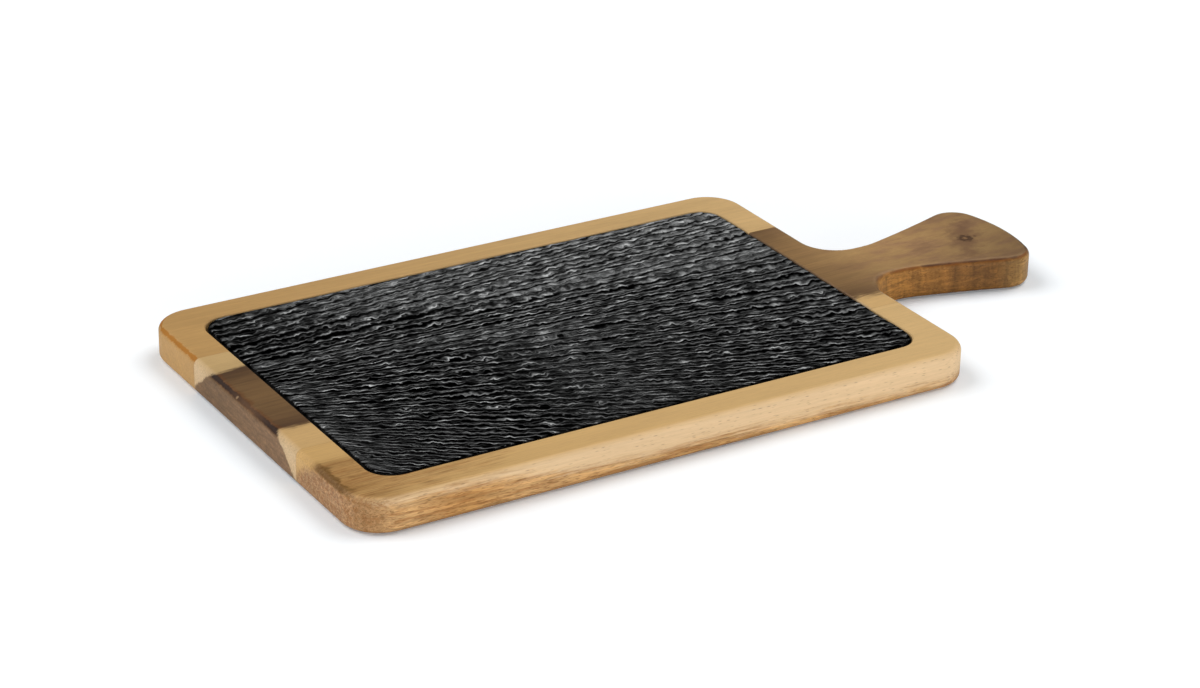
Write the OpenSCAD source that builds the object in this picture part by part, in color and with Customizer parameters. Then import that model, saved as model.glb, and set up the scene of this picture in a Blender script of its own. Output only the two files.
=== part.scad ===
// Serving board: three edge-glued wooden staves with a handle, and a slate plate lying in a recess.
// Millimetres, +Z up, the board lies on z = 0 with its long axis along X and the handle at +X.
// The origin is the middle of the underside, handle included.

/* [Board] */
// Length of the body, without the handle
body_length = 336.5; // [280:0.5:400]
// Width of the body across the staves
body_width = 230; // [215:1:280]
// Thickness of the planed wood
board_thickness = 18; // [14:0.5:26]
// Radius of the body's corners, seen from above
corner_radius = 20; // [12:1:30]
// Radius of the rounded edge all round, on top and underneath
edge_radius = 3.5; // [1.5:0.25:5]

/* [Handle] */
// Length of the handle beyond the body
handle_length = 103.5; // [90:0.5:125]
// Width of the handle where it is widest
handle_width = 69.2; // [60:0.2:80]
// Width of the neck where it is narrowest
neck_width = 37; // [30:1:44]
// Length of the straight stretch of the neck
neck_length = 5; // [1:0.5:12]
// Radius of the hollow where the handle leaves the body
root_radius = 18; // [12:1:24]
// Radius of the hollow along the neck
neck_radius = 37.5; // [30:0.5:60]
// Radius of the slight hollow along the flare, between the neck and the outer corner
flare_radius = 600; // [300:50:1200]
// Radius of the handle's two outer corners
handle_corner_radius = 15; // [10:1:20]
// Radius of the handle's bowed end
handle_end_radius = 85; // [70:1:140]
// How far the handle's middle line lies from the body's, towards the far side
handle_offset = -1.5; // [-6:0.5:6]

/* [Staves] */
// Width of the stave along the far side
far_stave_width = 57; // [45:1:70]
// Width of the stave along the near side
near_stave_width = 63; // [45:1:70]
// Thickness of the film of glue in each joint between staves
glue_thickness = 0.2; // [0.1:0.05:0.5]

/* [Slate] */
// Width of the wooden rim round the recess
rim_width = 19; // [14:1:30]
// Depth of the recess
recess_depth = 5; // [3:0.5:8]
// Radius of the recess's corners, seen from above
recess_radius = 13; // [8:1:20]
// Size of the eased edge round the top of the recess
recess_bevel = 0.5; // [0.25:0.25:1]
// Thickness of the slate
slate_thickness = 5.5; // [4:0.5:9]
// Gap between the slate and the wall of the recess
slate_clearance = 0.75; // [0.5:0.25:2]
// Size of the dressed edge round the top of the slate
slate_bevel = 0.75; // [0.25:0.25:1.5]
// Depth of the main hollows of the riven face, halfway along the slate
riven_depth = 0.7; // [0.3:0.1:1.2]
// How many main hollows fan out over the near half of the slate
near_hollows = 11; // [6:1:14]
// How many main hollows fan out over the far half
far_hollows = 8; // [4:1:12]
// Distance from the slate's middle to the point that the near half's hollows fan out from
near_fan_distance = 185; // [170:5:260]
// Distance from the slate's middle to the point that the far half's hollows fan out from
far_fan_distance = 370; // [300:10:500]
// Width of the flat crest along the slate's middle line
middle_crest_width = 6; // [3:0.5:10]

/* [Hidden] */
$fn = 64;

// Places along X
overall_length = body_length + handle_length;
body_start = -overall_length / 2;
body_end = body_start + body_length;
body_middle = body_start + body_length / 2;
handle_end = body_end + handle_length;

// Places along Y: the two faces of each glue joint
far_joint = body_width / 2 - far_stave_width;
near_joint = -body_width / 2 + near_stave_width;
handle_stave_far = far_joint - glue_thickness;
handle_stave_near = near_joint + glue_thickness;
handle_stave_width = handle_stave_far - handle_stave_near;

// Places along Z
recess_floor = board_thickness - recess_depth;

// Recess and slate, seen from above
recess_length = body_length - 2 * rim_width;
recess_width = body_width - 2 * rim_width;
slate_length = recess_length - 2 * slate_clearance;
slate_width = recess_width - 2 * slate_clearance;
slate_radius = recess_radius - slate_clearance;

// Riven face: bearings of the last hollows, how fast the hollows widen from one to the next, where the bottom
// of a hollow lies between its near and far crest, and the share of the spacing that stays flat as a crest
near_fan_bearing = -66;
far_fan_bearing = 24;
fan_growth = 1.3;
hollow_lean = 0.75;
crest_share = 0.2;

// How far a cutter runs past the face that it cuts
overcut = 1;
// Depth of the band of wood that carries the rounded edge on the handle stave
edge_band = 3 * edge_radius;
// How far the cut between two stretches of that band reaches into the wood
cut_depth = 2.5 * edge_radius;

// Handle outline on the far side: root hollow, straight neck, neck hollow, flare, corner and end bow, each
// tangent to the next. The near side is its mirror image about the handle's middle line.
root_centre = [body_end + root_radius, neck_width / 2 + root_radius];
neck_centre = [root_centre.x + neck_length, neck_width / 2 + neck_radius];
neck_start = [root_centre.x, neck_width / 2];
neck_end = [neck_centre.x, neck_width / 2];
end_centre = [handle_end - handle_end_radius, 0];
corner_centre_y = handle_width / 2 - handle_corner_radius;
bow_gap = handle_end_radius - handle_corner_radius;
corner_centre = [end_centre.x + sqrt(pow(bow_gap, 2) - pow(corner_centre_y, 2)), corner_centre_y];
// The flare's circle touches the neck's from outside the wood and the corner's from inside it
neck_to_corner = corner_centre - neck_centre;
neck_to_flare = flare_radius - neck_radius;
corner_to_flare = flare_radius + handle_corner_radius;
flare_turn = acos(
    (pow(norm(neck_to_corner), 2) + pow(neck_to_flare, 2) - pow(corner_to_flare, 2))
    / (2 * norm(neck_to_corner) * neck_to_flare)
);
flare_centre = neck_centre + neck_to_flare * direction(bearing(neck_to_corner) + flare_turn);

// Directions out of the wood where one arc hands over to the next
flare_start_outward = (flare_centre - neck_centre) / neck_to_flare;
flare_end_outward = (flare_centre - corner_centre) / corner_to_flare;
bow_outward = (corner_centre - end_centre) / bow_gap;
flare_start = neck_centre - neck_radius * flare_start_outward;
flare_end = corner_centre + handle_corner_radius * flare_end_outward;
bow_start = end_centre + handle_end_radius * bow_outward;

// Cuts across the edge at those places, each from outside the wood to inside it
body_cut = cut([body_end, root_centre.y], [1, 0]);
neck_start_cut = cut(neck_start, [0, 1]);
neck_end_cut = cut(neck_end, [0, 1]);
flare_start_cut = cut(flare_start, flare_start_outward);
flare_end_cut = cut(flare_end, flare_end_outward);
bow_cut = cut(bow_start, bow_outward);
bow_front = handle_end + overcut;

function direction(angle) = [cos(angle), sin(angle)];
function bearing(v) = atan2(v.y, v.x);
function cut(point, outward) = [point + overcut * outward, point - cut_depth * outward];
// Points on an arc, at most max_step degrees apart
function arc_points(centre, radius, from, to, max_step = 15) =
    let (steps = ceil(abs(to - from) / max_step))
    [for (i = [0 : steps]) centre + radius * direction(from + (to - from) * i / steps)];
function mirrored(points) = [for (i = [len(points) - 1 : -1 : 0]) [points[i].x, -points[i].y]];

// Moves in three ever smaller steps, so that no digit of the place is lost
module place(at) {
    whole = [for (v = at) round(v)];
    thousandths = [for (v = at - whole) round(1000 * v) / 1000];
    translate(whole) translate(thousandths) translate(at - whole - thousandths) children();
}

// Section of an edge: flat inside at x = 0, rounded over above and below at x = depth
module edge_section(depth) {
    translate([0, edge_radius]) square([depth, board_thickness - 2 * edge_radius]);
    square([depth - edge_radius, board_thickness]);
    for (z = [edge_radius, board_thickness - edge_radius])
        translate([depth - edge_radius, z]) circle(edge_radius);
}

// Straight rounded edge from start to end, with the outside on the left of that walk
module straight_edge(start, end, depth) {
    run = end - start;
    translate(start)
        rotate(bearing(run))
            rotate([90, 0, 90])
                linear_extrude(norm(run))
                    translate([-depth, 0])
                        edge_section(depth);
}

// Sector of the board between two bearings from the origin, reaching past radius
module sector(radius, from, to) {
    reach = 2 * radius;
    linear_extrude(board_thickness)
        polygon([
            [0, 0],
            reach * direction(from),
            reach * direction((from + to) / 2),
            reach * direction(to)
        ]);
}

// Rounded edge round a corner: the wood lies inside the arc, down to depth below it
module corner_edge(centre, radius, from, to, depth) {
    translate(centre)
        intersection() {
            rotate_extrude() translate([radius - depth, 0]) edge_section(depth);
            sector(radius, from, to);
        }
}

// Ring whose rim is a rounded edge: the wood lies inside the rim
module bowed_ring(centre, radius, depth) {
    place(centre) rotate_extrude() translate([radius - depth, 0]) edge_section(depth);
}

// Ring whose hole has a rounded edge: the wood lies outside the hole
module hollow_ring(centre, radius, facets = $fn) {
    place(centre)
        rotate_extrude($fn = facets)
            translate([radius + edge_band, 0])
                mirror([1, 0])
                    edge_section(edge_band);
}

// Part of an edge between two cuts. Neighbours share a cut, so they meet in the same plane
module between(first, last, outside = [], inside = []) {
    intersection() {
        children();
        linear_extrude(board_thickness)
            polygon(concat([first[1], first[0]], outside, last, inside));
    }
}

module rounded_rectangle(length, width, radius) {
    square([length - 2 * radius, width], center = true);
    square([length, width - 2 * radius], center = true);
    for (x = [-1, 1], y = [-1, 1])
        translate([x * (length / 2 - radius), y * (width / 2 - radius)])
            circle(radius);
}

// Rounded plate whose outline grows by grow on each side from its bottom to its top
module sloped_plate(length, width, radius, height, grow) {
    rotate([90, 0, 90])
        linear_extrude(length - 2 * radius, center = true)
            polygon(slope_section(width, height, grow));
    rotate([90, 0, 0])
        linear_extrude(width - 2 * radius, center = true)
            polygon(slope_section(length, height, grow));
    for (x = [-1, 1], y = [-1, 1])
        translate([x * (length / 2 - radius), y * (width / 2 - radius)])
            cylinder(h = height, r1 = radius, r2 = radius + grow);
}
function slope_section(span, height, grow) = [
    [-span / 2, 0],
    [span / 2, 0],
    [span / 2 + grow, height],
    [-span / 2 - grow, height]
];

// Room for the slate: straight walls, with an eased edge that runs on past the top face
module recess() {
    translate([body_middle, 0, recess_floor])
        linear_extrude(recess_depth + overcut)
            rounded_rectangle(recess_length, recess_width, recess_radius);
    bevel_reach = recess_bevel + overcut;
    translate([body_middle, 0, board_thickness - recess_bevel])
        sloped_plate(recess_length, recess_width, recess_radius, bevel_reach, bevel_reach);
}

// Stave along one side of the body: inner edge on y = 0, outer edge with both body corners at y = width
module outer_stave(width) {
    half = body_length / 2;
    inset = half - corner_radius;
    flat_width = width - corner_radius;
    translate([-inset, 0, 0]) cube([2 * inset, flat_width, board_thickness]);
    straight_edge([-half, 0], [-half, flat_width], corner_radius);
    straight_edge([-inset, width], [inset, width], corner_radius);
    straight_edge([half, flat_width], [half, 0], corner_radius);
    corner_edge([inset, flat_width], corner_radius, 0, 90, corner_radius);
    corner_edge([-inset, flat_width], corner_radius, 90, 180, corner_radius);
}

// One side of the handle, about the handle's middle line
module handle_side() {
    root_inside = [body_cut[1].x, neck_start_cut[1].y];
    corner_outside = [bow_front, handle_width / 2 + overcut];
    between(body_cut, neck_start_cut, inside = [root_inside]) hollow_ring(root_centre, root_radius);
    straight_edge(neck_start, neck_end, edge_band);
    between(neck_end_cut, flare_start_cut) hollow_ring(neck_centre, neck_radius);
    between(flare_start_cut, flare_end_cut) hollow_ring(flare_centre, flare_radius, 5 * $fn);
    between(flare_end_cut, bow_cut, outside = [corner_outside])
        bowed_ring(corner_centre, handle_corner_radius, handle_corner_radius);
}

// Inside of the handle, between the bands of its two sides
module handle_core() {
    middle_band = edge_band / 2;
    side = concat(
        [[body_end - edge_band, root_centre.y]],
        arc_points(root_centre, root_radius + middle_band, 180, 270),
        [neck_end - [0, middle_band]],
        [flare_start - middle_band * flare_start_outward],
        [flare_end - middle_band * flare_end_outward],
        arc_points(end_centre, handle_end_radius - middle_band, bearing(bow_outward), 0)
    );
    linear_extrude(board_thickness) polygon(concat(side, mirrored(side)));
}

module handle() {
    bow_outside = [[bow_front, bow_cut[0].y], [bow_front, -bow_cut[0].y]];
    translate([0, handle_offset, 0]) {
        handle_side();
        mirror([0, 1, 0]) handle_side();
        handle_core();
        between(bow_cut, [for (p = bow_cut) [p.x, -p.y]], outside = bow_outside)
            bowed_ring(end_centre, handle_end_radius, edge_band);
    }
}

// Film of glue that fills the joint above y, with the board's own section along its length
module glue_line(y) {
    color("#a8742f")
        difference() {
            translate([body_middle, y + glue_thickness, 0])
                rotate([90, 0, 0])
                    linear_extrude(glue_thickness)
                        for (end = [0, 1])
                            mirror([end, 0]) edge_section(body_length / 2);
            recess();
        }
}

module far_stave() {
    color("#b98f58")
        difference() {
            translate([body_middle, far_joint, 0]) outer_stave(far_stave_width);
            recess();
        }
}

module near_stave() {
    color("#c9a772")
        difference() {
            translate([body_middle, near_joint, 0]) mirror([0, 1, 0]) outer_stave(near_stave_width);
            recess();
        }
}

module handle_stave() {
    color("#8b6b48")
        difference() {
            union() {
                translate([body_start + edge_band, handle_stave_near, 0])
                    cube([body_length - 2 * edge_band, handle_stave_width, board_thickness]);
                straight_edge([body_start, handle_stave_near], [body_start, handle_stave_far], edge_band);
                straight_edge(
                    [body_end, handle_stave_far],
                    [body_end, handle_offset + root_centre.y],
                    edge_band
                );
                straight_edge(
                    [body_end, handle_offset - root_centre.y],
                    [body_end, handle_stave_near],
                    edge_band
                );
                handle();
            }
            recess();
        }
}

module far_glue_line() {
    glue_line(handle_stave_far);
}

module near_glue_line() {
    glue_line(near_joint);
}

// Hollow of the riven face: a V that widens and deepens away from the point that the hollows fan out from. It
// falls gently from the crest on its near side and rises steeply to the crest on its far side
module riven_hollow(fan_distance, near_bearing, far_bearing) {
    reach = fan_distance + slate_length;
    bottom_bearing = near_bearing + hollow_lean * (far_bearing - near_bearing);
    bottom = [each reach * direction(bottom_bearing), -riven_depth * reach / fan_distance];
    near_crest = [each reach * direction(near_bearing), 0];
    far_crest = [each reach * direction(far_bearing), 0];
    translate([-fan_distance, 0, slate_thickness])
        polyhedron(
            [[0, 0, 0], bottom, 2 * near_crest - bottom, 2 * far_crest - bottom],
            [[0, 2, 1], [0, 1, 3], [0, 3, 2], [1, 2, 3]]
        );
}

// Hollows that fan out over one half of the slate, from its middle line to the bearing last
module riven_fan(count, fan_distance, last) {
    first = sign(last) * atan(middle_crest_width / 2 / fan_distance);
    bearings = [for (i = [0 : count]) first + (last - first) * pow(i / count, fan_growth)];
    for (i = [0 : count - 1]) {
        crest = crest_share / 2 * (bearings[i + 1] - bearings[i]);
        inner = i == 0 ? bearings[i] : bearings[i] + crest;
        outer = bearings[i + 1] - crest;
        riven_hollow(fan_distance, min(inner, outer), max(inner, outer));
    }
}

module slate_plate() {
    wall = slate_thickness - slate_bevel;
    linear_extrude(wall) rounded_rectangle(slate_length, slate_width, slate_radius);
    translate([0, 0, wall])
        sloped_plate(slate_length, slate_width, slate_radius, slate_bevel, -slate_bevel);
}

module slate_inlay() {
    color("#1d2023")
        translate([body_middle, 0, recess_floor])
            difference() {
                slate_plate();
                riven_fan(near_hollows, near_fan_distance, near_fan_bearing);
                riven_fan(far_hollows, far_fan_distance, far_fan_bearing);
            }
}

far_stave();
handle_stave();
near_stave();
far_glue_line();
near_glue_line();
slate_inlay();
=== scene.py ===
"""Serving board: three edge-glued acacia staves with a flared handle, and a riven slate laid in the recess.

Lengths are in millimetres, and MM turns them to metres where a mesh, a bump or the camera needs that. The
frame is the CAD frame: +Z up, the board lies on z = 0, its grain runs along X and the handle points to +X.
"""

import math
from functools import partial

import bpy
import numpy as np
from mathutils import Matrix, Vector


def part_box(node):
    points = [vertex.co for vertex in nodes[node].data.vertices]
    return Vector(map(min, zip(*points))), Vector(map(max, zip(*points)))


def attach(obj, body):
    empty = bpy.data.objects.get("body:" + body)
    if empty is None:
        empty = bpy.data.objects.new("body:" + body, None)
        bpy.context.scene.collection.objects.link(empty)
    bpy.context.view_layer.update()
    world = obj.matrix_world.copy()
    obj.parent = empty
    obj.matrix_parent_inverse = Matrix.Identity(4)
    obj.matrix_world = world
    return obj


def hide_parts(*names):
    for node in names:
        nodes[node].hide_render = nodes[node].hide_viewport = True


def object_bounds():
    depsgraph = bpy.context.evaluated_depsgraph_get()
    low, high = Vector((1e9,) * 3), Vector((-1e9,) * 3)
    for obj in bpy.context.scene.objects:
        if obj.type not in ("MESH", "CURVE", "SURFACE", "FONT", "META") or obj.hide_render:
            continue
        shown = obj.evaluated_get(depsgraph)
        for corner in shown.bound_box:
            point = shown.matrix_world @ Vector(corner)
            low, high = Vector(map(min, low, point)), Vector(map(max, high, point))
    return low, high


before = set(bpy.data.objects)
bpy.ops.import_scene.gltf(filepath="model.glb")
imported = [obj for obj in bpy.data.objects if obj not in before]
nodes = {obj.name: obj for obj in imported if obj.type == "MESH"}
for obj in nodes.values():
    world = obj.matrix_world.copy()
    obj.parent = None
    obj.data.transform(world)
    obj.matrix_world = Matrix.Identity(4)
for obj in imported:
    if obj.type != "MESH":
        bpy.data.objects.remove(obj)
cad_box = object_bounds()
MM = 0.001

# Camera fitted to the photograph: place, sensor and clip distances in millimetres, angles in degrees,
# focal length in photo pixels
PHOTO_WIDTH = 1200
CAMERA_PLACE = (-781.36, -1228.44, 679.51)
CAMERA_YAW = 58.488
CAMERA_PITCH = 25.051
CAMERA_ROLL = -1.009
FOCAL_PIXELS = 3226.35
SENSOR_WIDTH = 36.0
CLIP_NEAR = 50.0
CLIP_FAR = 50000.0

# Studio: half the floor's side. Low front wall: its direction, the sines of the elevations between which
# it fades out, and its brightness. Then the brightness all round, the lamps' apparent width in degrees,
# and each lamp's name, strength, tilt and turn in degrees
FLOOR_HALF = 4000.0
FRONT = (-0.292, -0.956, 0)
WALL_TOP = (0.03, 0.45)
WALL_LEVEL = 7.6
ROOM_LEVEL = 0.1
LAMP_WIDTH = 46
LAMPS = (("right_softbox", 1.65, 35, 92), ("left_softbox", 1.75, 42, 225))

# Ends of the board along X, the right end of its body, half the body's width, the radius of its corners
LEFT_END = cad_box[0].x / MM
RIGHT_END = cad_box[1].x / MM
BODY_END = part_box("near_stave")[1].x / MM
HALF_WIDTH = cad_box[1].y / MM
CORNER_RADIUS = 20.0

# Marks on the wood: how far inside the left end the burnt line lies, a pale fleck on that line, the knot
# on the handle with the size and turn of the cloud about it, and a dark spot beside the knot
BURN_INSET = 1.4
FLECK = (-218.9, 11.9, 17.1)
KNOT = (192.85, -2.8, 18.0)
KNOT_CLOUD = (26, 8, 26)
KNOT_CLOUD_TURN = 58
KNOT_SPOT = (199.0, -3.0, 18.0)

# Slate: its lowest and highest corners, its middle along X, half its length and width, the radius of its
# corners and that of the far left one, which is rounder
SLATE_LOW, SLATE_HIGH = (np.array(place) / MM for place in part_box("slate_inlay"))
SLATE_MIDDLE = (SLATE_LOW[0] + SLATE_HIGH[0]) / 2
SLATE_HALF_LENGTH = (SLATE_HIGH[0] - SLATE_LOW[0]) / 2
SLATE_HALF_WIDTH = (SLATE_HIGH[1] - SLATE_LOW[1]) / 2
SLATE_RADIUS = 12.25
FAR_LEFT_RADIUS = 13.5
# Its face: points along and across it, how far inside the outline it ends, the depth of its cleft
# texture, and over what width the face levels out towards the dressed edge
FACE_COLUMNS = 400
FACE_ROWS = 236
SHOULDER = 1.0
TEXTURE_DEPTH = 0.55
DRESSED_WIDTH = 8.0

# The slate's ridges fan out from a point: how far it lies to the left of x = 0, its y, between which y it
# moves to twice that distance, and how far from it a ridge has the spacing that is given for it
FAN_AHEAD = 340.0
FAN_Y = 40.0
FAN_CHANGE = (5.0, 75.0)
FAN_UNIT = 100.0
# Spacing, length of a stretch, height and seed of the broad and the fine ridges, and how far apart in the
# noise two ridges and two levels of splitting lie
RIDGES = ((4.7, 10, 1.0, 100), (3.1, 6, 0.65, 200))
RIDGE_STEP = 17.3
LEVEL_STEP = 50.0
# How far the ridges wander, and the share, length, width and seed of each size of wandering
WANDER = 3.1
WANDERS = ((0.5, 16, 9, 7), (0.46, 5, 4.5, 8), (0.32, 2.2, 2.4, 9))
# Length, in points of the rim, and seed of the chips along the slate's edge
CHIP_LENGTH = 9
CHIP_SEED = 21

# Settings that many shader nodes share. A Mix of colours has its share at input 0, the colours at 6 and 7
SMOOTH = {"interpolation_type": "SMOOTHSTEP"}
COLOURS = {"out": 2, "data_type": "RGBA"}


def linear(hex_colour):
    """Linear colour of an sRGB hex value: each channel through the sRGB curve, then alpha 1."""
    channels = [int(hex_colour[i : i + 2], 16) / 255 for i in (1, 3, 5)]
    return [c / 12.92 if c <= 0.04045 else ((c + 0.055) / 1.055) ** 2.4 for c in channels] + [1.0]


def add(tree, kind, inputs=(), out=0, stops=(), **settings):
    """Adds a shader node with its settings, feeds its inputs with values or links, and returns one output.
    A hex text is a colour, and stops are the places and values of a colour ramp."""
    made = tree.nodes.new("ShaderNode" + kind)
    for name, value in settings.items():
        setattr(made, name, value)
    for key, value in inputs.items() if isinstance(inputs, dict) else enumerate(inputs):
        if isinstance(value, bpy.types.NodeSocket):
            tree.links.new(value, made.inputs[key])
        else:
            made.inputs[key].default_value = linear(value) if isinstance(value, str) else value
    for number, (place, value) in enumerate(stops):
        ramp = made.color_ramp.elements
        stop = ramp[number] if number < len(ramp) else ramp.new(place)
        stop.position = place
        stop.color = linear(value) if isinstance(value, str) else (value, value, value, 1)
    return made.outputs[out]


def new_material(name):
    """An empty node material, with a function that adds nodes to it."""
    made = bpy.data.materials.new(name)
    made.use_nodes = True
    made.node_tree.nodes.clear()
    return made, partial(add, made.node_tree)


def show(made, shader):
    """Makes shader the surface of a material."""
    end = made.node_tree.nodes.new("ShaderNodeOutputMaterial")
    made.node_tree.links.new(shader, end.inputs["Surface"])
    return made


def mesh_piece(name, points, faces, material):
    """An object at the origin with a mesh of those points, in millimetres, and faces."""
    mesh = bpy.data.meshes.new(name)
    mesh.from_pydata(np.asarray(points) * MM, [], faces)
    mesh.materials.append(material)
    piece = bpy.data.objects.new(name, mesh)
    bpy.context.scene.collection.objects.link(piece)
    return piece


# Wood of the three staves, and the glue between them


class Acacia:
    """Acacia, planed, sanded and oiled: a satin face with lengthwise fibre streaks and short dark pore
    dashes, which show on the sides and as specks on the ends. A stave is cut from one log: its growth
    rings are wavering circles round a straight pith line, given by its y and z at the board's two ends,
    and depth is how far a point lies inside the heartwood."""

    def __init__(self, name, seed, pith_left, pith_right, heart_radius, waver):
        self.made, self.put = new_material(name)
        put = self.put
        metres = put("TexCoord", out="Object")
        self.place = put("VectorMath", {0: metres, "Scale": 1 / MM}, operation="SCALE")
        self.x, self.y = (put("SeparateXYZ", [self.place], out=axis) for axis in "XY")
        normal = put("TexCoord", out="Normal")
        self.nx, self.ny, self.nz = (put("SeparateXYZ", [normal], out=axis) for axis in "XYZ")
        run = RIGHT_END - LEFT_END
        turn_y = -math.atan2(pith_right[1] - pith_left[1], run)
        turn_z = math.atan2(pith_right[0] - pith_left[0], run)
        log = put(
            "Mapping",
            {"Vector": self.place, "Location": (LEFT_END, *pith_left), "Rotation": (0, turn_y, turn_z)},
            vector_type="TEXTURE",
        )
        # Each stave comes from its own stretch of the noise
        self.grain = put("VectorMath", [log, (71.0 * seed, 0, 0)], operation="ADD")
        ring_plane = put("VectorMath", [log, (0, 1, 1)], operation="MULTIPLY")
        circle = put("VectorMath", [ring_plane], out="Value", operation="LENGTH")
        least, most = heart_radius - waver, heart_radius + waver
        sway = put("MapRange", [self.streaks(70, 14, 3), 0.2, 0.8, least, most])
        self.depth = put("Math", [sway, circle], operation="SUBTRACT")
        self.end_grain = put("Math", [self.nx], operation="ABSOLUTE")
        self.along = put("MapRange", [self.x, LEFT_END, BODY_END, 0, 1])

    def streaks(self, along, across, detail=2.0, roughness=0.5):
        """Noise from 0 to 1 whose cells have that length along the grain and width across it."""
        cells = (1 / along, 1 / across, 1 / across)
        scaled = self.put("VectorMath", [self.grain, cells], operation="MULTIPLY")
        return self.put(
            "TexNoise", {"Vector": scaled, "Scale": 1.0, "Detail": detail, "Roughness": roughness}
        )

    def end_figure(self):
        """Noise from 0 to 1 for the growth rings on the ends: its cells are 9 mm wide and 1.3 mm high."""
        scaled = self.put("VectorMath", [self.grain, (0, 1 / 9, 1 / 1.3)], operation="MULTIPLY")
        return self.put("TexNoise", {"Vector": scaled, "Scale": 1.0, "Detail": 4.0, "Roughness": 0.6})

    def shaded(self, colour, change, amount):
        """Colour times 1 minus amount to 1 plus amount as change goes from a quarter to three quarters."""
        factor = self.put("MapRange", [change, 0.25, 0.75, 1 - amount, 1 + amount])
        return self.put("VectorMath", {0: colour, "Scale": factor}, operation="SCALE")

    def ringed(self, colour, width, amount):
        """Growth rings: the colour made lighter and darker in bands about width millimetres wide."""
        phase = self.put("Math", [self.depth, 1 / width], operation="MULTIPLY")
        ring = self.put("TexNoise", {"W": phase, "Scale": 1.0, "Detail": 2.0}, noise_dimensions="1D")
        return self.shaded(colour, ring, amount)

    def spotted(self, colour, middle, radius, strength, spot_colour):
        """Adds a soft spot to a colour: strongest within 0.4 mm of its middle, and gone at its radius."""
        aside = self.put("VectorMath", [self.place, middle], out="Value", operation="DISTANCE")
        share = self.put("MapRange", [aside, 0.4, radius, strength, 0], **SMOOTH)
        return self.put("Mix", {0: share, 6: colour, 7: spot_colour}, **COLOURS)

    def scorch(self, width, ragged):
        """Line, 0 to 1, that the edge cutter burned on the rounded top edge of the left end: about width
        millimetres wide, thicker and thinner along the edge, and uneven by ragged millimetres."""
        put = self.put
        from_middle = put("Math", [self.y], operation="ABSOLUTE")
        in_corner = put("Math", [from_middle, HALF_WIDTH - CORNER_RADIUS], operation="SUBTRACT")
        in_corner = put("Math", [in_corner, 0.0], operation="MAXIMUM")
        squared = put("Math", [in_corner, in_corner], operation="MULTIPLY")
        rest = put("Math", [(CORNER_RADIUS - BURN_INSET) ** 2, squared], operation="SUBTRACT")
        reach = put("Math", [rest], operation="SQRT")
        edge = put("Math", [LEFT_END + CORNER_RADIUS, reach], operation="SUBTRACT")
        shift = put("MapRange", [self.streaks(1.5, 1.5, 2), 0.25, 0.75, -ragged, ragged])
        shifted = put("Math", [self.x, shift], operation="ADD")
        inboard = put("Math", [shifted, edge], operation="SUBTRACT")
        aside = put("Math", [inboard], operation="ABSOLUTE")
        swell = put("TexNoise", {"W": self.y, "Scale": 1 / 8, "Detail": 3.0}, noise_dimensions="1D")
        half = put("MapRange", [swell, 0.3, 0.7, 0.2 * width, 0.7 * width])
        ratio = put("Math", [aside, half], operation="DIVIDE")
        line = put("MapRange", [ratio, 1.3, 0.5, 0, 1], **SMOOTH)
        upward = put("MapRange", [self.nz, 0.3, 0.6, 0, 1])
        return put("Math", [line, upward], operation="MULTIPLY")

    def pores(self):
        """Pores, 0 to 1, as dashes 4.5 mm apart along the grain and 0.9 mm across it. Real ones are about
        0.2 mm wide; these are drawn at twice that, so that they show."""
        put = self.put
        scaled = put("VectorMath", [self.grain, (1 / 4.5, 1 / 0.9, 1 / 0.9)], operation="MULTIPLY")
        distance = put("TexVoronoi", {"Vector": scaled, "Scale": 1.0}, out="Distance")
        chance = put("TexVoronoi", {"Vector": scaled, "Scale": 1.0}, out="Color")
        chosen = put("MapRange", [chance, 0.4, 0.6, 0, 1])
        spot = put("MapRange", [distance, 0.1, 0.35, 1, 0], **SMOOTH)
        return put("Math", [spot, chosen], operation="MULTIPLY")

    def oiled(self, colour, fibre_depth, pore_depth, speck_depth):
        """Adds fibre, pores, end-grain specks and a satin oil finish to a wood colour."""
        put = self.put
        fibre = self.streaks(45, 0.9, 3, 0.6)
        colour = self.shaded(colour, self.streaks(140, 22), 0.06)
        colour = self.shaded(colour, fibre, fibre_depth)
        colour = self.shaded(colour, self.streaks(7, 0.55, 2, 0.6), 0.05)
        cells = put("TexNoise", {"Vector": self.grain, "Scale": 1 / 0.9, "Detail": 2.0, "Roughness": 0.7})
        specks = self.shaded(colour, cells, speck_depth)
        colour = put("Mix", {0: self.end_grain, 6: colour, 7: specks}, **COLOURS)
        # The sanded faces above and below hide most of the pores
        pore = self.pores()
        level = put("Math", [self.nz], operation="ABSOLUTE")
        seen = put("MapRange", [level, 0.6, 0.95, pore_depth, 0.2 * pore_depth])
        darker = put("Math", [pore, seen], operation="MULTIPLY")
        pore_shade = put("Math", [1.0, darker], operation="SUBTRACT")
        colour = put("VectorMath", {0: colour, "Scale": pore_shade}, operation="SCALE")
        relief = put("Math", [fibre, pore], operation="SUBTRACT")
        bump = put("Bump", {"Strength": 0.4, "Distance": 0.05 * MM, "Height": relief})
        roughness = put("MapRange", [fibre, 0.25, 0.75, 0.5, 0.6])
        finish = {"Roughness": roughness, "IOR": 1.5, "Specular IOR Level": 0.2, "Normal": bump}
        return show(self.made, put("BsdfPrincipled", {"Base Color": colour, **finish}))


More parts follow.
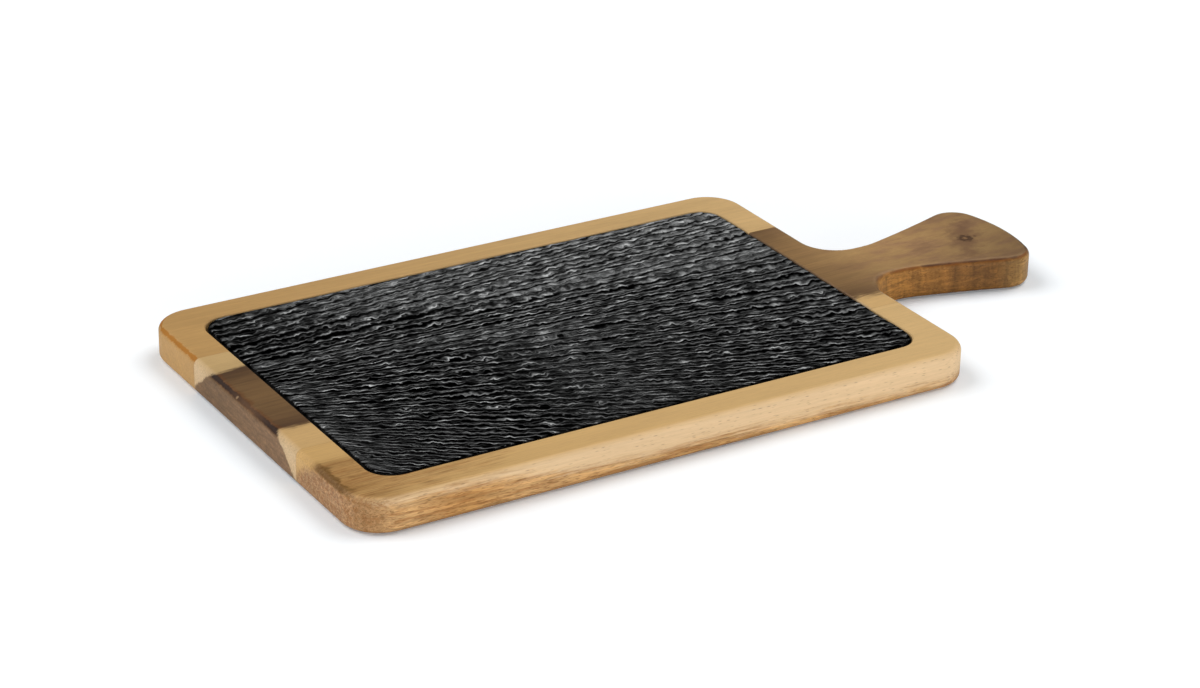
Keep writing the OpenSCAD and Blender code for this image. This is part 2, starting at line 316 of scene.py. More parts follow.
def far_stave_wood():
    """Tan acacia, more orange towards the left end, with an orange line where its end was rounded."""
    wood = Acacia(
        "oiled_acacia_tan",
        seed=1,
        pith_left=(150.0, -60.0),
        pith_right=(140.0, -75.0),
        heart_radius=40.0,
        waver=3.0,
    )
    tan = wood.put("Mix", {0: wood.along, 6: "#b08a55", 7: "#c4a26f"}, **COLOURS)
    tan = wood.ringed(tan, 5.0, 0.05)
    tan = wood.shaded(tan, wood.streaks(90, 1.8, 3, 0.6), 0.06)
    tan = wood.put("Mix", {0: wood.scorch(2.2, 0.3), 6: tan, 7: "#a2691f"}, **COLOURS)
    return wood.oiled(tan, fibre_depth=0.05, pore_depth=0.3, speck_depth=0.08)


def cream_sapwood(wood):
    """Sapwood of the handle stave: cream, a little greyer on the far side and paler on the end."""
    put = wood.put
    far_side = put("MapRange", [wood.y, -20, 20, 0, 1])
    sap = put("Mix", {0: far_side, 6: "#c19d68", 7: "#b99a69"}, **COLOURS)
    sap = put("Mix", {0: wood.end_grain, 6: sap, 7: "#c5a982"}, **COLOURS)
    return wood.ringed(sap, 5.0, 0.05)


def body_heartwood(wood):
    """Heartwood of the body: darkest under the sapwood, lighter towards the pith, ringed on the end."""
    put = wood.put
    heart = put(
        "ValToRGB",
        [put("MapRange", [wood.depth, 0, 25, 0, 1])],
        stops=[
            (0.0, "#452f1e"),
            (0.08, "#573f27"),
            (0.28, "#6c5132"),
            (0.6, "#7d5f3b"),
            (1.0, "#84663f"),
        ],
    )
    far_side = put("MapRange", [wood.y, -30, 30, 0, 1])
    end = put("Mix", {0: far_side, 6: "#7b5e42", 7: "#6e5337"}, **COLOURS)
    end = wood.shaded(end, wood.end_figure(), 0.35)
    heart = put("Mix", {0: wood.end_grain, 6: heart, 7: end}, **COLOURS)
    heart = wood.ringed(heart, 2.5, 0.1)
    return wood.shaded(heart, wood.streaks(60, 1.4, 3, 0.6), 0.2)


def handle_heartwood(wood):
    """Clouded heartwood of the handle, where the grain turns: paler by the body and on the far side."""
    put = wood.put
    clouded = put(
        "ValToRGB",
        [wood.streaks(30, 11, 4, 0.6)],
        stops=[
            (0.3, "#7b5c40"),
            (0.43, "#896948"),
            (0.52, "#917149"),
            (0.64, "#97784d"),
            (0.75, "#8a6942"),
        ],
    )
    clouded = wood.shaded(clouded, wood.streaks(5, 2.5, 3, 0.6), 0.08)
    by_body = put("MapRange", [wood.x, BODY_END + 40, RIGHT_END, 1.2, 0.8])
    on_far_side = put("MapRange", [wood.y, -28, 8, 0.8, 1.06])
    paler = put("Math", [by_body, on_far_side], operation="MULTIPLY")
    return put("VectorMath", {0: clouded, "Scale": paler}, operation="SCALE")


def knotted(wood, heart):
    """Adds the handle's knot: a ragged purple-brown cloud, a dark eye with a light centre, and a spot."""
    put = wood.put
    from_knot = put("VectorMath", [wood.place, KNOT], operation="SUBTRACT")
    cloud_axes = put(
        "Mapping",
        {"Vector": from_knot, "Rotation": (0, 0, math.radians(KNOT_CLOUD_TURN)), "Scale": KNOT_CLOUD},
        vector_type="TEXTURE",
    )
    cloud = put("VectorMath", [cloud_axes], out="Value", operation="LENGTH")
    ragged = put("MapRange", [wood.streaks(6, 5, 4, 0.6), 0.25, 0.75, -0.5, 0.5])
    cloud = put("Math", [cloud, ragged], operation="ADD")
    cloud = put("MapRange", [cloud, 0.3, 1.4, 0.75, 0], **SMOOTH)
    heart = put("Mix", {0: cloud, 6: heart, 7: "#6a4c36"}, **COLOURS)
    halved = put("VectorMath", [from_knot, (0.5, 0.5, 1)], operation="MULTIPLY")
    ring = put("VectorMath", [halved], out="Value", operation="LENGTH")
    uneven = put("MapRange", [wood.streaks(2.2, 1.6, 4), 0.2, 0.8, -1.1, 1.1])
    ring = put("Math", [ring, uneven], operation="ADD")
    outward = put("MapRange", [ring, 0, 2, 0, 1])
    eye = put("ValToRGB", [outward], stops=[(0.2, "#80603f"), (0.55, "#3f2917")])
    is_eye = put("MapRange", [ring, 1.4, 2.6, 0.85, 0], **SMOOTH)
    heart = put("Mix", {0: is_eye, 6: heart, 7: eye}, **COLOURS)
    return wood.spotted(heart, KNOT_SPOT, 1.5, 0.7, "#4a3220")


def golden_side(wood):
    """Near side of the handle: golden brown, with flames that rise towards the end, dark veins along them
    and dark bars across the grain."""
    put = wood.put
    golden = put(
        "ValToRGB",
        [put("MapRange", [wood.x, BODY_END, RIGHT_END, 0, 1])],
        stops=[
            (0.1, "#9a6b2f"),
            (0.5, "#774f20"),
            (0.72, "#68451b"),
            (0.85, "#8a6838"),
            (1.0, "#947448"),
        ],
    )
    rising = put(
        "Mapping", {"Vector": wood.grain, "Rotation": (0, 0.5, 0), "Scale": (1 / 16, 1 / 16, 1 / 3)}
    )
    flame = put(
        "TexNoise",
        {"Vector": rising, "Scale": 1.0, "Detail": 4.0, "Roughness": 0.6, "Distortion": 0.6},
    )
    golden = wood.shaded(golden, flame, 0.35)
    vein = put("Math", [flame, 0.5], operation="SUBTRACT")
    vein = put("Math", [vein], operation="ABSOLUTE")
    vein = put("MapRange", [vein, 0, 0.035, 0.5, 0], **SMOOTH)
    golden = put("Mix", {0: vein, 6: golden, 7: "#4a2e10"}, **COLOURS)
    golden = wood.shaded(golden, wood.streaks(5, 40, 3, 0.6), 0.45)
    return wood.shaded(golden, wood.streaks(1.4, 1.4, 3, 0.7), 0.22)


def edge_lined(wood, heart, on_handle):
    """Adds lines along the top edge of the handle's near side and end: dark orange low on the rounding, and
    brown stretches above it."""
    put = wood.put
    outward = put("Math", [wood.nx, wood.ny], operation="SUBTRACT")
    turned = put("MapRange", [outward, 0.2, 0.4, 0, 1])
    shown = put("Math", [turned, on_handle], operation="MULTIPLY")
    # Slopes at which a line starts and ends, length of its stretches, how they swell, and its colour
    for start, end, length, swell, colour in (
        ((0.35, 0.7), (0.93, 0.8), 9, (0.35, 0.6, 0.25, 0.9), "#6e3f12"),
        ((0.6, 0.8), (0.99, 0.94), 14, (0.42, 0.58, 0, 0.85), "#432610"),
    ):
        above = put("MapRange", [wood.nz, *start, 0, 1], **SMOOTH)
        below = put("MapRange", [wood.nz, *end, 0, 1], **SMOOTH)
        stretch = put("MapRange", [wood.streaks(length, length, 3), *swell])
        line = put("Math", [above, below], operation="MULTIPLY")
        line = put("Math", [line, stretch], operation="MULTIPLY")
        line = put("Math", [line, shown], operation="MULTIPLY")
        heart = put("Mix", {0: line, 6: heart, 7: colour}, **COLOURS)
    return heart


def burnt_end(wood, heart):
    """Adds what the edge cutter left on the left end's top edge: a singed band, a burnt line that is
    fainter in the middle, and a pale fleck."""
    put = wood.put
    singed = put("Math", [wood.scorch(6.0, 0.4), 0.55], operation="MULTIPLY")
    heart = put("Mix", {0: singed, 6: heart, 7: "#5c3413"}, **COLOURS)
    from_middle = put("Math", [wood.y], operation="ABSOLUTE")
    burnt = put("MapRange", [from_middle, 4, 24, 0.45, 1], **SMOOTH)
    burnt = put("Math", [wood.scorch(2.6, 0.35), burnt], operation="MULTIPLY")
    heart = put("Mix", {0: burnt, 6: heart, 7: "#2a1507"}, **COLOURS)
    return wood.spotted(heart, FLECK, 1.2, 0.6, "#a98a66")


def handle_stave_wood():
    """Brown acacia heartwood with cream sapwood along both edges of the body, a knot in the handle, and a
    golden side to the handle."""
    wood = Acacia(
        "oiled_acacia_heartwood",
        seed=2,
        pith_left=(4.0, -52.0),
        pith_right=(16.6, -35.0),
        heart_radius=77.0,
        waver=1.2,
    )
    put = wood.put
    on_handle = put("MapRange", [wood.x, BODY_END - 20, BODY_END + 25, 0, 1], **SMOOTH)
    heart = put("Mix", {0: on_handle, 6: body_heartwood(wood), 7: handle_heartwood(wood)}, **COLOURS)
    heart = knotted(wood, heart)
    faces_near = put("MapRange", [wood.ny, -0.3, -0.75, 0, 1], **SMOOTH)
    golden_part = put("Math", [faces_near, on_handle], operation="MULTIPLY")
    heart = put("Mix", {0: golden_part, 6: heart, 7: golden_side(wood)}, **COLOURS)
    heart = edge_lined(wood, heart, on_handle)
    heart = burnt_end(wood, heart)
    # The heartwood's edge is sharp at the left end and feathered at the handle
    feather = put("MapRange", [wood.along, 0, 1, 0.7, 3.5])
    smoke = put("MapRange", [wood.streaks(9, 1.5, 3, 0.65), 0.25, 0.75, -0.7, 0.7])
    ratio = put("Math", [wood.depth, feather], operation="DIVIDE")
    ratio = put("Math", [ratio, smoke], operation="ADD")
    is_heart = put("MapRange", [ratio, -1, 1, 0, 1], **SMOOTH)
    colour = put("Mix", {0: is_heart, 6: cream_sapwood(wood), 7: heart}, **COLOURS)
    return wood.oiled(colour, fibre_depth=0.06, pore_depth=0.35, speck_depth=0.2)


def pale_wood(wood, faces_near, beyond_joint):
    """Pale wood of the near stave, with brown streaks on the top face by the left end."""
    put = wood.put
    top = put("Mix", {0: wood.along, 6: "#c09a61", 7: "#c8a672"}, **COLOURS)
    by_end = put("MapRange", [wood.x, LEFT_END + 6, LEFT_END + 36, 1, 0], **SMOOTH)
    streak = put("MapRange", [wood.streaks(50, 2.2, 3, 0.6), 0.38, 0.6, 0.3, 1])
    brown = put("Math", [by_end, beyond_joint], operation="MULTIPLY")
    brown = put("Math", [brown, streak], operation="MULTIPLY")
    top = put("Mix", {0: brown, 6: top, 7: "#8b6636"}, **COLOURS)
    pale = put("Mix", {0: faces_near, 6: top, 7: "#cbae87"}, **COLOURS)
    return wood.ringed(pale, 4.0, 0.05)


def golden_wood(wood, faces_near):
    """Golden heartwood of the near stave, with reddish streaks and short dark dashes, and a brown patch on
    the near left corner."""
    put = wood.put
    side = put(
        "ValToRGB",
        [put("MapRange", [wood.x, LEFT_END + 25, LEFT_END + 145, 0, 1])],
        stops=[
            (0.0, "#bb9462"),
            (0.16, "#a97e4a"),
            (0.26, "#ad824b"),
            (0.5, "#bd9562"),
            (1.0, "#b08854"),
        ],
    )
    gold = put("Mix", {0: faces_near, 6: "#a37b49", 7: side}, **COLOURS)
    end = put("Mix", {0: wood.end_figure(), 6: "#8e6b47", 7: "#b89168"}, **COLOURS)
    gold = put("Mix", {0: wood.end_grain, 6: gold, 7: end}, **COLOURS)
    gold = wood.shaded(gold, wood.streaks(22, 1.3, 4, 0.7), 0.5)
    reddish = put("MapRange", [wood.streaks(30, 2.6, 4, 0.65), 0.46, 0.62, 0, 0.6], **SMOOTH)
    gold = put("Mix", {0: reddish, 6: gold, 7: "#8c5a2c"}, **COLOURS)
    dashes = put("MapRange", [wood.streaks(5, 0.7, 2, 0.6), 0.52, 0.64, 0, 0.55], **SMOOTH)
    gold = put("Mix", {0: dashes, 6: gold, 7: "#6b441d"}, **COLOURS)
    on_left = put("Math", [wood.x, 0.0], operation="LESS_THAN")
    turned = put("MapRange", [wood.ny, -0.35, -0.6, 0, on_left], **SMOOTH)
    before_side = put("MapRange", [wood.ny, -0.99, -0.9, 0, 0.35], **SMOOTH)
    patch = put("Math", [turned, before_side], operation="MULTIPLY")
    return put("Mix", {0: patch, 6: gold, 7: "#7d5930"}, **COLOURS)


def near_stave_wood():
    """Pale acacia with golden heartwood that shows on the left end, low along the near side and, for a
    short way, on the top face."""
    wood = Acacia(
        "oiled_acacia_pale",
        seed=3,
        pith_left=(-92.0, -47.0),
        pith_right=(-92.0, -52.0),
        heart_radius=60.0,
        waver=1.6,
    )
    put = wood.put
    rise = put("MapRange", [wood.x, LEFT_END + 60, LEFT_END + 130, 7.0, 0], **SMOOTH)
    depth = put("Math", [wood.depth, rise], operation="ADD")
    wisps = put("MapRange", [wood.streaks(16, 0.9, 4, 0.7), 0.25, 0.75, -3.2, 3.2])
    depth = put("Math", [depth, wisps], operation="ADD")
    is_heart = put("MapRange", [depth, -3, 3.5, 0, 1], **SMOOTH)
    faces_near = put("MapRange", [wood.ny, -0.2, -0.9, 0, 1])
    beyond_joint = put("MapRange", [wood.y, -64, -74, 0, 1], **SMOOTH)
    pale = pale_wood(wood, faces_near, beyond_joint)
    colour = put("Mix", {0: is_heart, 6: pale, 7: golden_wood(wood, faces_near)}, **COLOURS)
    # Scorched and torn grain along the end's top edge
    torn = put("MapRange", [wood.streaks(1.6, 1.3, 3, 0.7), 0.4, 0.6, 0.7, 1])
    before_corner = put("MapRange", [wood.y, -104, -95, 0, 1])
    scorched = put("Math", [wood.scorch(7.0, 0.8), beyond_joint], operation="MULTIPLY")
    scorched = put("Math", [scorched, before_corner], operation="MULTIPLY")
    scorched = put("Math", [scorched, torn], operation="MULTIPLY")
    colour = put("Mix", {0: scorched, 6: colour, 7: "#66461b"}, **COLOURS)
    return wood.oiled(colour, fibre_depth=0.07, pore_depth=0.35, speck_depth=0.16)


def wood_glue():
    """Dried wood glue: a thin amber-brown line with a low sheen, mottled every 6 mm."""
    made, put = new_material("dried_wood_glue")
    here = put("TexCoord", out="Object")
    mottle = put("TexNoise", {"Vector": here, "Scale": 1 / (6 * MM), "Detail": 2.0})
    colour = put("ValToRGB", [mottle], stops=[(0.3, "#8a6233"), (0.7, "#a8803f")])
    return show(made, put("BsdfPrincipled", {"Base Color": colour, "Roughness": 0.45, "IOR": 1.48}))


# Slate: a riven plate with a cleft face, dressed edges and a sawn underside


def crest_tone_and_painted_light(put, x, y, soft):
    """Lines along the crests of the slate's ridges, 0 to 1: partly the slate's lighter crests and partly
    painted highlights, with painted shade on each ridge's steep near side. They fan out and split as
    cleft_relief says, and each one fades in and out along its length. Where lines overlap, the brightest one
    shows."""
    wander = put("Attribute", out="Fac", attribute_name="wander")
    on_far = put("MapRange", [y, *FAN_CHANGE, 0, 1], **SMOOTH)
    from_point = put("Math", [x, FAN_AHEAD], operation="ADD")
    ahead = put("Math", [on_far, FAN_AHEAD, from_point], operation="MULTIPLY_ADD")
    aside = put("Math", [y, FAN_Y], operation="SUBTRACT")
    across = put("Math", [aside, ahead], operation="DIVIDE")
    units = put("Math", [ahead, 1 / FAN_UNIT], operation="MULTIPLY")
    doublings = put("Math", [units, 2.0], operation="LOGARITHM")
    fewer = put("Math", [doublings], operation="FLOOR")
    more = put("Math", [fewer, 1.0], operation="ADD")
    share = put("Math", [doublings], operation="FRACT")
    share = put("MapRange", [share, 0, 1, 0, 1], **SMOOTH)
    fewer_shown = put("MapRange", [share, 0.5, 1, 1, 0])
    more_shown = put("MapRange", [share, 0, 0.5, 0, 1])
    # Across each tooth: painted shade on the steep near scarp, a painted highlight at the crest, less grey
    # down the far slope
    thin_stops = [(0.0, 0.0), (0.2, 0.0), (0.3, 1.0), (0.42, 0.55), (0.65, 0.08), (1.0, 0.0)]
    broad_stops = [(0.0, 0.08), (0.2, 0.0), (0.35, 0.75), (0.6, 0.5), (0.8, 0.25), (1.0, 0.08)]
    grey = 0.0
    for spacing, along, amount, _ in RIDGES:
        for level, weight in ((fewer, fewer_shown), (more, more_shown)):
            spread = put("Math", [2.0, level], operation="POWER")
            spread = put("Math", [spread, FAN_UNIT], operation="MULTIPLY")
            spread = put("Math", [spread, across], operation="MULTIPLY")
            phase = put("Math", [wander, WANDER, spread], operation="MULTIPLY_ADD")
            phase = put("Math", [phase, 1 / spacing], operation="MULTIPLY")
            ridge = put("Math", [phase], operation="FLOOR")
            tooth = put("Math", [phase], operation="FRACT")
            thin = put("ValToRGB", [tooth], stops=thin_stops)
            broad = put("ValToRGB", [tooth], stops=broad_stops)
            tone = put("Mix", {0: soft, 2: thin, 3: broad})
            run = put("Math", [x, 1 / along], operation="MULTIPLY")
            run = put("Math", [ridge, RIDGE_STEP, run], operation="MULTIPLY_ADD")
            row = put("Math", [level, LEVEL_STEP, ridge], operation="MULTIPLY_ADD")
            spot = put("CombineXYZ", [run, row])
            strength = put("TexNoise", {"Vector": spot, "Scale": 1.0, "Detail": 1.0}, noise_dimensions="2D")
            strength = put("MapRange", [strength, 0.3, 0.7, 0.3 * amount, amount])
            line = put("Math", [tone, strength], operation="MULTIPLY")
            line = put("Math", [line, weight], operation="MULTIPLY")
            grey = put("Math", [grey, line], operation="MAXIMUM")
    return grey


def riven_slate():
    """Slate, riven along its cleavage and oiled: grey lines along the crests of its ridges, partly its own
    lighter crests and partly painted highlights, painted shade as black scarps on their near sides, and a
    fine grit.
    The lines lie on the mesh's own ridges: their wander comes with the mesh, and so does the painted sheen,
    how much grey there is."""
    made, put = new_material("riven_slate_oiled")
    here = put("VectorMath", {0: put("TexCoord", out="Object"), "Scale": 1 / MM}, operation="SCALE")
    x, y = (put("SeparateXYZ", [here], out=axis) for axis in "XY")
    # Painted crest highlights: thin and bright towards the near left corner, broad and soft towards the far
    # right
    from_middle = put("Math", [x, SLATE_MIDDLE], operation="SUBTRACT")
    right = put("Math", [from_middle, SLATE_HALF_LENGTH], operation="DIVIDE")
    diagonal = put("Math", [y, 1 / SLATE_HALF_WIDTH, right], operation="MULTIPLY_ADD")
    soft = put("MapRange", [diagonal, -0.8, 1.4, 0, 1])
    grey = crest_tone_and_painted_light(put, x, y, soft)
    # Painted highlights on crests that are a little lower are much darker
    sharpness = put("MapRange", [diagonal, 0, 1.8, 2.6, 1.7])
    sharpened_highlight = put("Math", [grey, sharpness], operation="POWER")
    # Grit of about 0.8 mm
    grit = put("TexNoise", {"Vector": here, "Scale": 1 / 0.8, "Detail": 3.0, "Roughness": 0.7})
    gritty = put("Math", [sharpened_highlight, put("MapRange", [grit, 0.3, 0.7, 0.7, 1.3])], operation="MULTIPLY")
    # Painted sheen and shade over the face: how much grey the crests show, carried by the mesh
    painted_sheen = put("Attribute", out="Fac", attribute_name="painted_sheen")
    shown = put("Math", [gritty, painted_sheen], operation="MULTIPLY")
    # The dressed edges and the sawn underside are an even dark grey
    facing = put("SeparateXYZ", [put("TexCoord", out="Normal")], out="Z")
    is_face = put("MapRange", [facing, 0.1, 0.35, 0, 1])
    plain = put("MapRange", [grit, 0.3, 0.7, 0.012, 0.035])
    shown = put("Mix", {0: is_face, 2: plain, 3: shown})
    colour = put("VectorMath", {0: linear("#fdffff")[:3], "Scale": shown}, operation="SCALE")
    bump = put("Bump", {"Strength": 0.5, "Distance": 0.15 * MM, "Height": grit})
    finish = {"Roughness": 0.7, "IOR": 1.5, "Specular IOR Level": 0.0, "Normal": bump}
    return show(made, put("BsdfPrincipled", {"Base Color": colour, **finish}))


def lattice_noise(s, t, seed):
    """Smooth noise from about -1 to 1: random slopes on a unit lattice, blended by 6c^5 - 15c^4 + 10c^3."""
    size = 512
    angles = np.random.default_rng(seed).uniform(0, 2 * np.pi, (size, size))
    i, j = np.floor(s).astype(int), np.floor(t).astype(int)
    f, g = s - i, t - j
    u, v = (c**3 * (c * (6 * c - 15) + 10) for c in (f, g))

    def corner(a, b):
        angle = angles[(i + a) % size, (j + b) % size]
        return np.cos(angle) * (f - a) + np.sin(angle) * (g - b)

    low = (1 - u) * corner(0, 0) + u * corner(1, 0)
    high = (1 - u) * corner(0, 1) + u * corner(1, 1)
    return 1.5 * ((1 - v) * low + v * high)


def ridge_wander(x, y):
    """How far the ridges are pushed aside, from about -1 to 1: the sum of three sizes of noise."""
    return sum(share * lattice_noise(x / along, y / across, seed) for share, along, across, seed in WANDERS)


def cleft_relief(x, y, wander):
    """Height of the cleft texture: saw-toothed ridges, steep on the near side, that fan out from a point
    beyond the left end, or from twice as far on the far side. Each ridge splits in two where its spacing
    has doubled. Noise makes the ridges wander and makes each one fade in and out along its length."""
    on_far = np.clip((y - FAN_CHANGE[0]) / (FAN_CHANGE[1] - FAN_CHANGE[0]), 0, 1)
    ahead = x + FAN_AHEAD * (1 + on_far * on_far * (3 - 2 * on_far))
    doublings = np.log2(ahead / FAN_UNIT)
    fewer = np.floor(doublings)
    share = doublings - fewer
    share = share * share * (3 - 2 * share)
    rise = 0.3
    relief = np.zeros_like(x)
    for spacing, along, amount, seed in RIDGES:
        for level, weight in ((fewer, 1 - share), (fewer + 1, share)):
            phase = (FAN_UNIT * 2.0**level * (y - FAN_Y) / ahead + WANDER * wander) / spacing
            ridge = np.floor(phase)
            tooth = phase - ridge
            saw = np.where(tooth < rise, tooth / rise, (1 - tooth) / (1 - rise))
            row = 0.37 * ridge + LEVEL_STEP * level
            strength = 0.7 + 0.7 * lattice_noise(x / along + RIDGE_STEP * ridge, row, seed)
            relief += amount * weight * saw * np.clip(strength, 0.15, 1.2)
    return relief


def painted_sheen_level(x, y):
    """Painted sheen: how much grey the crests show, brighter and darker as the light's sheen would make
    them: an exponential that rises towards the far right, with a bump beyond the middle, and on the near
    half a dip across the middle and a step up to the right of it."""
    far, right = y / SLATE_HALF_WIDTH, (x - SLATE_MIDDLE) / SLATE_HALF_LENGTH
    near = np.clip((0.2 - far) / 0.5, 0, 1)
    rise = 0.3 * far + 0.15 * right - 0.2 * right**2 + 0.1 * far * right
    bump = 0.25 * np.exp(-((right / 0.6) ** 2) - ((far - 0.3) / 0.5) ** 2)
    dip = 0.3 * near * np.exp(-((right / 0.3) ** 2))
    step = (0.37 * near - 0.12) * np.clip(right / 0.4, 0, 1)
    return 0.78 * np.exp(rise + bump - dip + step)


def solid_hollows(x, y):
    """Depth of the solid slate's main hollows. Over each of its facets that look up, a point's height is
    that of the facet's first corner plus the rise along two sides, in the shares s and t of them that lead
    to the point."""
    solid = nodes["slate_inlay"].data
    places = np.empty(3 * len(solid.vertices), np.float32)
    solid.vertices.foreach_get("co", places)
    corners = np.empty(len(solid.loops), np.int32)
    solid.loops.foreach_get("vertex_index", corners)
    facets = places.astype(float).reshape(-1, 3)[corners].reshape(-1, 3, 3) / MM
    margin = 1e-6
    depth = np.zeros_like(x)
    for first, second, third in facets:
        (bx, by, bz), (cx, cy, cz) = second - first, third - first
        area = bx * cy - by * cx
        if area > 0:
            px, py = x - first[0], y - first[1]
            s, t = (px * cy - py * cx) / area, (bx * py - by * px) / area
            over = (s > -margin) & (t > -margin) & (s + t < 1 + margin)
            depth[over] = (SLATE_HIGH[2] - first[2] - s * bz - t * cz)[over]
    return depth


def slate_plan(u, w, inset):
    """Point inside the slate's outline at u, 0 to 1 from left to right, and w, -1 to 1 from near to far:
    each end of a row draws back by r - sqrt(r^2 - d^2), where d is how far the row lies in the corner."""
    half_width = SLATE_HALF_WIDTH - inset
    y = w * half_width

    def draw_back(radius):
        r = radius - inset
        d = np.clip(np.abs(y) - (half_width - r), 0, r)
        return r - np.sqrt(r**2 - d**2)

    left = SLATE_LOW[0] + inset + draw_back(np.where(y > 0, FAR_LEFT_RADIUS, SLATE_RADIUS))
    right = SLATE_HIGH[0] - inset - draw_back(SLATE_RADIUS)
    return left + u * (right - left), y


def face_height(x, y, wander):
    """Height of the slate's face on a grid of rows: its top less the solid's hollows and the cleft texture,
    both cut less deep towards the dressed edge."""
    relief = cleft_relief(x, y, wander)
    bottom, top = np.percentile(relief, (0.5, 99.7))
    cut = solid_hollows(x, y) + TEXTURE_DEPTH * np.clip((top - relief) / (top - bottom), 0, 1)
    from_ends = np.minimum(x - x[:, :1], x[:, -1:] - x)
    from_edge = np.minimum(from_ends, SLATE_HALF_WIDTH - SHOULDER - np.abs(y))
    return SLATE_HIGH[2] - cut * (0.35 + 0.65 * np.clip(from_edge / DRESSED_WIDTH, 0, 1))


def slate_piece():
    """The slate as one closed mesh. Its face is a grid of rows, each run from the left to the right end of
    the rounded outline at that row. Three loops carry the edge down to the flat underside."""
    u, w = np.meshgrid(np.linspace(0, 1, FACE_COLUMNS), np.linspace(-1, 1, FACE_ROWS))
    x, y = slate_plan(u, w, SHOULDER)
    wander = ridge_wander(x, y)
    z = face_height(x, y, wander)
    number = np.arange(x.size).reshape(x.shape)
    rim = np.concatenate([number[0, :-1], number[:-1, -1], number[-1, :0:-1], number[:0:-1, 0]])
    around = np.arange(len(rim))
    chip = lattice_noise(around / CHIP_LENGTH, np.zeros(len(rim)), CHIP_SEED)
    points = [np.column_stack([x.ravel(), y.ravel(), z.ravel()])]
    # Inset and height of each loop: a chipped edge, the top of the wall, and the underside
    rim_z = z.flat[rim]
    for inset, loop_z in (
        (0.35 + 0.25 * chip, rim_z - 0.35),
        (0.1, rim_z - 1.2),
        (0.1, np.full(len(rim), SLATE_LOW[2])),
    ):
        points.append(np.column_stack([*slate_plan(u.flat[rim], w.flat[rim], inset), loop_z]))
    grid = [number[:-1, :-1], number[:-1, 1:], number[1:, 1:], number[1:, :-1]]
    quads = np.stack(grid, -1).reshape(-1, 4)
    loops = [rim] + [number.size + len(rim) * k + around for k in range(3)]
    walls = [
        np.column_stack([lower, np.roll(lower, -1), np.roll(upper, -1), upper])
        for upper, lower in zip(loops, loops[1:])
    ]
    faces = np.concatenate([quads, *walls]).tolist() + [loops[-1][::-1].tolist()]
    piece = mesh_piece("riven_slate", np.concatenate(points), faces, riven_slate())
    smooth = [True] * len(quads) + [False] * (len(faces) - len(quads))
    piece.data.polygons.foreach_set("use_smooth", smooth)
    beyond = np.zeros(3 * len(rim))
    # The mesh carries the ridges' wander and the painted sheen over the face
    for name, values in (("wander", wander), ("painted_sheen", painted_sheen_level(x, y))):
        carried = piece.data.attributes.new(name, "FLOAT", "POINT")
        carried.data.foreach_set("value", np.concatenate([values.ravel(), beyond]))
    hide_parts("slate_inlay")
    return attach(piece, "slate")


# Studio: white floor, soft light and the photograph's camera


def studio_floor():
    """White paper floor: matt, white where nothing shades it, and a little cool in the shade."""
    made, put = new_material("white_paper")
    paper = put("BsdfDiffuse", {"Color": "#fcfcfc"})
    camera = put("LightPath", out="Is Camera Ray")
    glossy = put("LightPath", out="Is Glossy Ray")
    through = put("LightPath", out="Is Transmission Ray")
    direct = put("Math", [camera, glossy], operation="ADD")
    seen = put("Math", [direct, through], operation="ADD")
    glow = put("Emission", {"Color": "#344855", "Strength": seen})
    show(made, put("AddShader", [paper, glow]))
    corners = [(-1, -1, 0), (1, -1, 0), (1, 1, 0), (-1, 1, 0)]
    floor = mesh_piece("floor", FLOOR_HALF * np.array(corners), [(0, 1, 2, 3)], made)


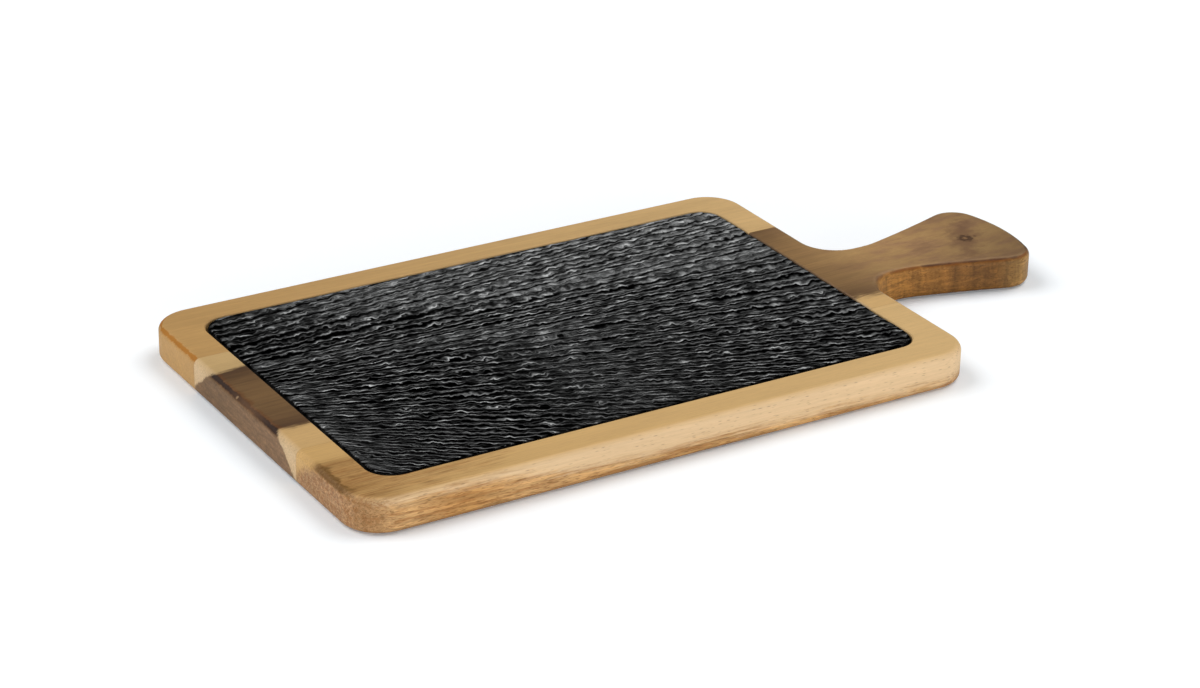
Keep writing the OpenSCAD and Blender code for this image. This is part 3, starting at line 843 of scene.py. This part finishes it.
def studio_light():
    """Soft studio light: a bright low wall in front of the board, and two soft lamps above it, one on the
    right and one at the back on the left."""
    world = bpy.data.worlds.new("studio")
    bpy.context.scene.world = world
    world.use_nodes = True
    world.node_tree.nodes.clear()
    put = partial(add, world.node_tree)
    toward = put("TexCoord", out="Generated")
    to_front = put("VectorMath", [toward, FRONT], out="Value", operation="DOT_PRODUCT")
    faced = put("MapRange", [to_front, 0.2, 0.9, 0, WALL_LEVEL], **SMOOTH)
    height = put("SeparateXYZ", [toward], out="Z")
    low = put("MapRange", [height, *WALL_TOP, 1, 0], **SMOOTH)
    level = put("Math", [faced, low, ROOM_LEVEL], operation="MULTIPLY_ADD")
    end = world.node_tree.nodes.new("ShaderNodeOutputWorld")
    world.node_tree.links.new(put("Background", {"Strength": level}), end.inputs["Surface"])

    for name, energy, tilt, turn in LAMPS:
        lamp = bpy.data.lights.new(name, "SUN")
        lamp.energy = energy
        lamp.angle = math.radians(LAMP_WIDTH)
        holder = bpy.data.objects.new(name, lamp)
        holder.rotation_euler = (math.radians(tilt), 0, math.radians(turn))
        bpy.context.scene.collection.objects.link(holder)


def photo_camera():
    """The photograph's camera: yaw from +X, pitch below the horizon, a roll about the line of sight."""
    yaw, pitch, roll = (math.radians(a) for a in (CAMERA_YAW, CAMERA_PITCH, CAMERA_ROLL))
    forward = np.array(
        [math.cos(pitch) * math.cos(yaw), math.cos(pitch) * math.sin(yaw), -math.sin(pitch)]
    )
    level = np.array([math.sin(yaw), -math.cos(yaw), 0])
    down = np.cross(forward, level)
    right = math.cos(roll) * level + math.sin(roll) * down
    up = math.sin(roll) * level - math.cos(roll) * down
    data = bpy.data.cameras.new("photo_camera")
    data.sensor_width = SENSOR_WIDTH
    data.lens = FOCAL_PIXELS / PHOTO_WIDTH * SENSOR_WIDTH
    data.clip_start, data.clip_end = CLIP_NEAR * MM, CLIP_FAR * MM
    camera = bpy.data.objects.new("photo_camera", data)
    turned = Matrix(np.column_stack([right, up, -forward]).tolist()).to_4x4()
    camera.matrix_world = Matrix.Translation([c * MM for c in CAMERA_PLACE]) @ turned
    bpy.context.scene.collection.objects.link(camera)
    bpy.context.scene.camera = camera


photo_camera()
studio_floor()
studio_light()
bpy.context.scene.view_settings.view_transform = "Standard"

nodes["far_stave"].data.materials[0] = far_stave_wood()
nodes["handle_stave"].data.materials[0] = handle_stave_wood()
nodes["near_stave"].data.materials[0] = near_stave_wood()
glue = wood_glue()
for glue_line in ("far_glue_line", "near_glue_line"):
    nodes[glue_line].data.materials[0] = glue
slate_piece()
